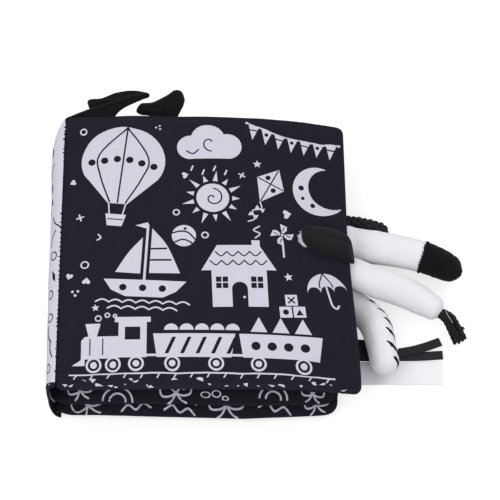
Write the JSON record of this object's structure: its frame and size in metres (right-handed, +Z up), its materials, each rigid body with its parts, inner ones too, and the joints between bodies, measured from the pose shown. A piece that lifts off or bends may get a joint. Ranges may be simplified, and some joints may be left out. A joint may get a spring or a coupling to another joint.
{
  "type": "cloth baby book",
  "caption": "Soft padded cloth book for a baby, lying closed, with a cloth spine, crinkle leaves, stuffed plush tails and ribbons sewn along its edges.",
  "frame": {"origin": "on the table plane, in the flat underside of the closed book's back cover, about midway along and across it", "axes": "+X from the spine to the fore edge, +Y along the spine to the head of the book, +Z up out of the front cover"},
  "size_m": [0.2773, 0.2311, 0.053],
  "materials": {
    "black_cloth": "matt woven cloth with a pale print",
    "white_cloth": "matt woven cloth",
    "black_plush": "short pile",
    "white_plush": "short pile",
    "black_cord": "twisted yarn",
    "black_ribbon": "ribbed ribbon",
    "white_satin": "satin weave",
    "wadding": "loose fibre",
    "crinkle_film": "thin milky film"
  },
  "bodies": {
    "back_cover": {"back_cover_outer_cloth": "black_cloth", "back_cover_inner_cloth": "black_cloth", "back_cover_pad": "wadding", "back_spine_cloth": "white_cloth"},
    "leaf_2": {"leaf_2_upper_cloth": "black_cloth", "leaf_2_lower_cloth": "black_cloth", "leaf_2_pad": "wadding", "leaf_2_crinkle_film": "crinkle_film", "leaf_2_spine_cloth": "white_cloth"},
    "leaf_1": {"leaf_1_upper_cloth": "black_cloth", "leaf_1_lower_cloth": "black_cloth", "leaf_1_pad": "wadding", "leaf_1_crinkle_film": "crinkle_film", "leaf_1_spine_cloth": "white_cloth"},
    "front_cover": {"front_cover_outer_cloth": "black_cloth", "front_cover_inner_cloth": "black_cloth", "front_cover_pad": "wadding", "front_spine_cloth": "white_cloth"},
    "folded_tail": {"folded_tail_plush": "black_plush", "folded_tail_fur_tip": "white_plush"},
    "long_tail": {"long_tail_plush": "white_plush", "long_tail_tip": "black_plush", "long_tail_stuffing": "wadding"},
    "tassel_tail": {"tassel_tail_plush": "white_plush", "tassel_tail_stuffing": "wadding", "tassel_cords": "black_cord"},
    "striped_tail": {"striped_tail_plush": "white_plush", "striped_tail_stuffing": "wadding"},
    "bumpy_tail": {"bumpy_tail_plush": "black_plush", "bumpy_tail_stuffing": "wadding"},
    "narrow_ribbons": {"ribbon_tab": "black_ribbon", "upper_narrow_ribbon": "black_ribbon", "lower_narrow_ribbon": "black_ribbon"},
    "satin_ribbon": {"satin_ribbon": "white_satin"},
    "top_flap": {"top_flap": "black_plush"},
    "top_tail": {"top_tail": "black_plush"}
  },
  "joints": [
    {"name": "leaf_2_turn", "type": "hinge", "parent": "back_cover", "child": "leaf_2", "pos_m": [-0.0993, 0, 0.01225], "axis": [0, -1, 0], "range_deg": [0, 45]},
    {"name": "leaf_1_turn", "type": "hinge", "parent": "leaf_2", "child": "leaf_1", "pos_m": [-0.0993, 0, 0.02915], "axis": [0, -1, 0], "range_deg": [0, 60]},
    {"name": "front_cover_turn", "type": "hinge", "parent": "leaf_1", "child": "front_cover", "pos_m": [-0.0993, 0, 0.04305], "axis": [0, -1, 0], "range_deg": [0, 175]},
    {"name": "folded_tail_unfold", "type": "hinge", "parent": "front_cover", "child": "folded_tail", "pos_m": [0.1038, 0.007, 0.03448], "axis": [0, 1, 0], "range_deg": [0, 145]},
    {"name": "long_tail_lift", "type": "hinge", "parent": "leaf_1", "child": "long_tail", "pos_m": [0.0942, 0.0207, 0.03029], "axis": [0, -1, 0], "range_deg": [0, 25]},
    {"name": "tassel_tail_lift", "type": "hinge", "parent": "leaf_1", "child": "tassel_tail", "pos_m": [0.0942, -0.0058, 0.03063], "axis": [0, -1, 0], "range_deg": [0, 16]},
    {"name": "striped_tail_swing", "type": "hinge", "parent": "leaf_2", "child": "striped_tail", "pos_m": [0.09321, -0.0155, 0.01553], "axis": [0, 0, 1], "range_deg": [-6, 7]},
    {"name": "bumpy_tail_swing", "type": "hinge", "parent": "leaf_2", "child": "bumpy_tail", "pos_m": [0.09321, 0.0385, 0.01516], "axis": [0, 0, 1], "range_deg": [0, 15]},
    {"name": "narrow_ribbons_swing", "type": "hinge", "parent": "back_cover", "child": "narrow_ribbons", "pos_m": [0.0962, -0.054, 0.00454], "axis": [0, 0, 1], "range_deg": [-3, 18]},
    {"name": "satin_ribbon_swing", "type": "hinge", "parent": "back_cover", "child": "satin_ribbon", "pos_m": [0.0962, -0.07, 0.00457], "axis": [0, 0, 1], "range_deg": [-25, 20]},
    {"name": "top_flap_lift", "type": "hinge", "parent": "leaf_1", "child": "top_flap", "pos_m": [-0.06075, 0.1003, 0.04], "axis": [1, 0, 0], "range_deg": [0, 75]},
    {"name": "top_tail_lift", "type": "hinge", "parent": "leaf_1", "child": "top_tail", "pos_m": [-0.019, 0.1003, 0.0402], "axis": [1, 0, 0], "range_deg": [0, 55]}
  ]
}
